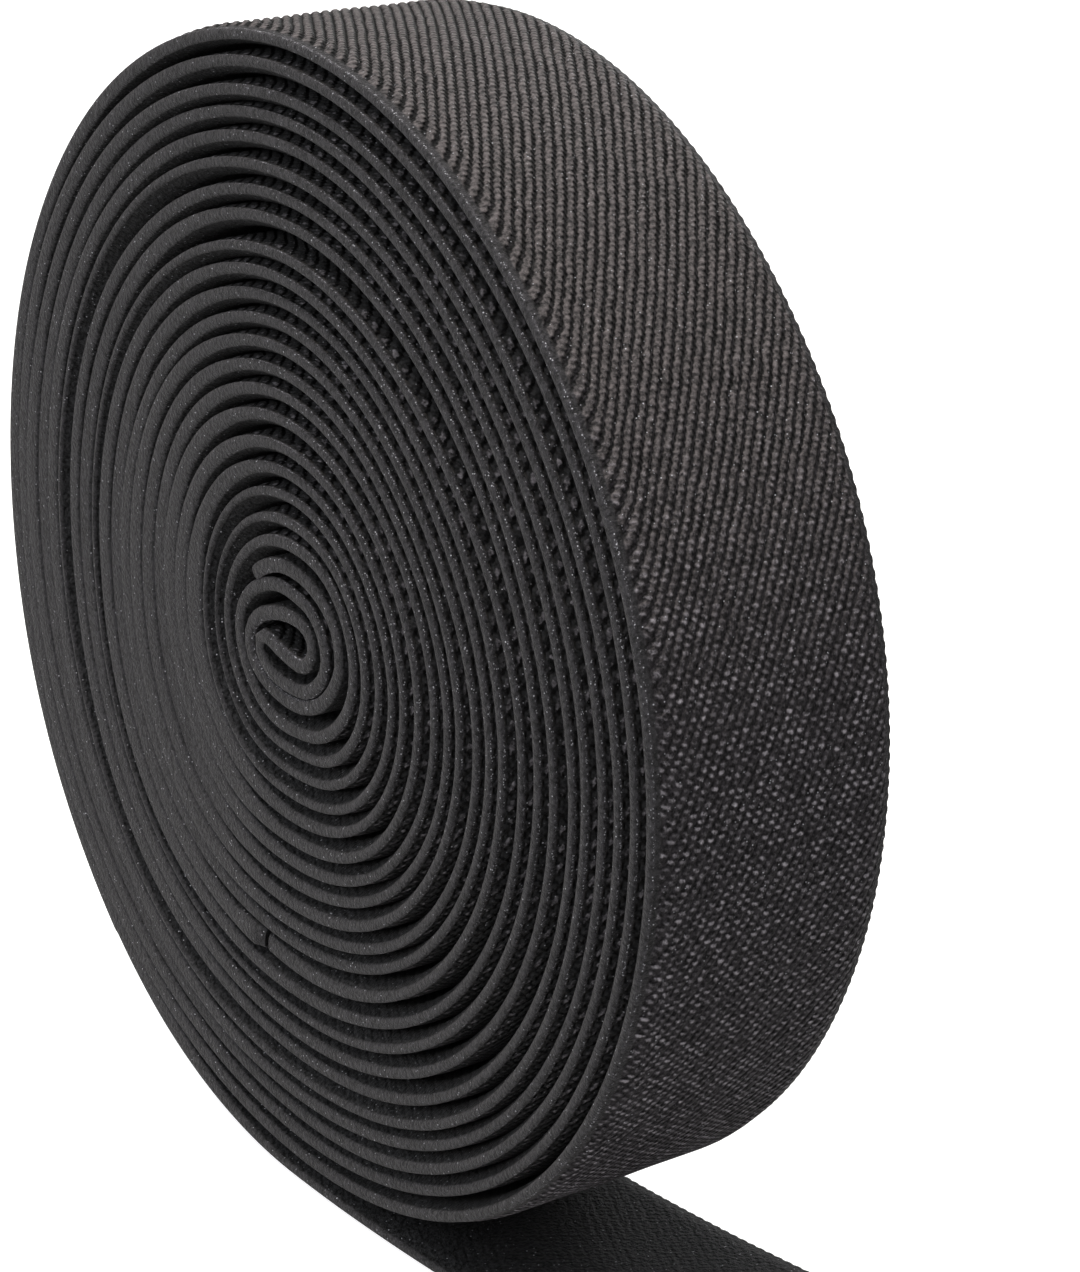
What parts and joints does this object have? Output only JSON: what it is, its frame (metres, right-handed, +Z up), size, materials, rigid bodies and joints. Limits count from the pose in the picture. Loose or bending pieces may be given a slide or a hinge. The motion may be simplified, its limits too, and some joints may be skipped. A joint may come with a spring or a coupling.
{
  "type": "roll of woven elastic",
  "caption": "Coreless roll of wide black woven elastic band, standing on its rim with the loose end laid flat on the table beneath it.",
  "frame": {"origin": "on the table, on the flat underside of the loose end, straight below the roll's axis", "axes": "+X the way the loose end runs out along the table, +Y along the roll's axis from the face that shows towards the far face, +Z up"},
  "size_m": [0.1566, 0.0383, 0.1136],
  "materials": {
    "woven_elastic": "matt woven polyester over rubber, with a faint sheen on the rib"
  },
  "bodies": {
    "root": {"wound_roll": "woven_elastic", "loose_end": "woven_elastic"}
  },
  "joints": []
}
